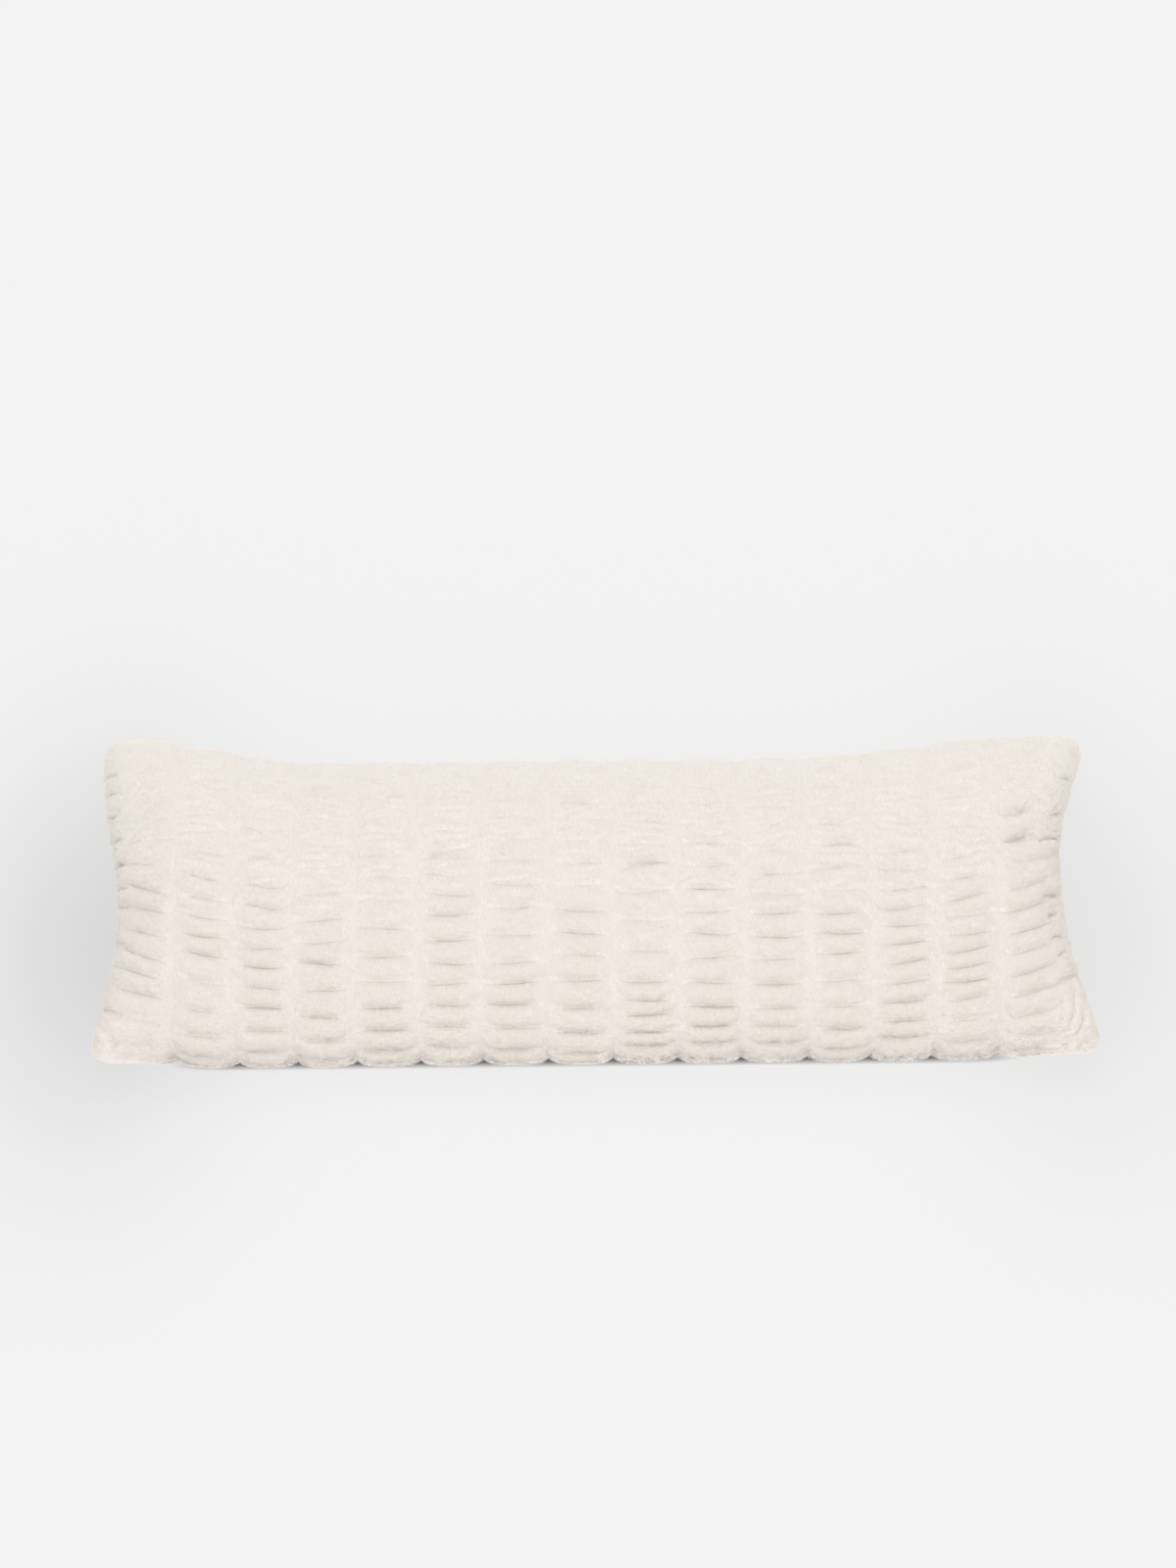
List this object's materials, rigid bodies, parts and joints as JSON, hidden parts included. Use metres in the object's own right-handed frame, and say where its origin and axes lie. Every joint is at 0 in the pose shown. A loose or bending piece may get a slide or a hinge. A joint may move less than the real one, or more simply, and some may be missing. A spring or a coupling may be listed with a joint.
{
  "type": "body pillow",
  "caption": "Long stuffed body pillow with a crowned, shirred front of soft cross rolls, a plain back and drawn-in ends.",
  "frame": {"origin": "middle of the pillow's footprint, on the flat of its back", "axes": "+X along the length, +Y across the width to the upper edge, +Z out of the shirred front"},
  "size_m": [1.172, 0.4, 0.14],
  "materials": {
    "cover": "matte short-pile faux fur in warm ivory"
  },
  "bodies": {
    "root": {"body_pillow": "cover"}
  },
  "joints": []
}
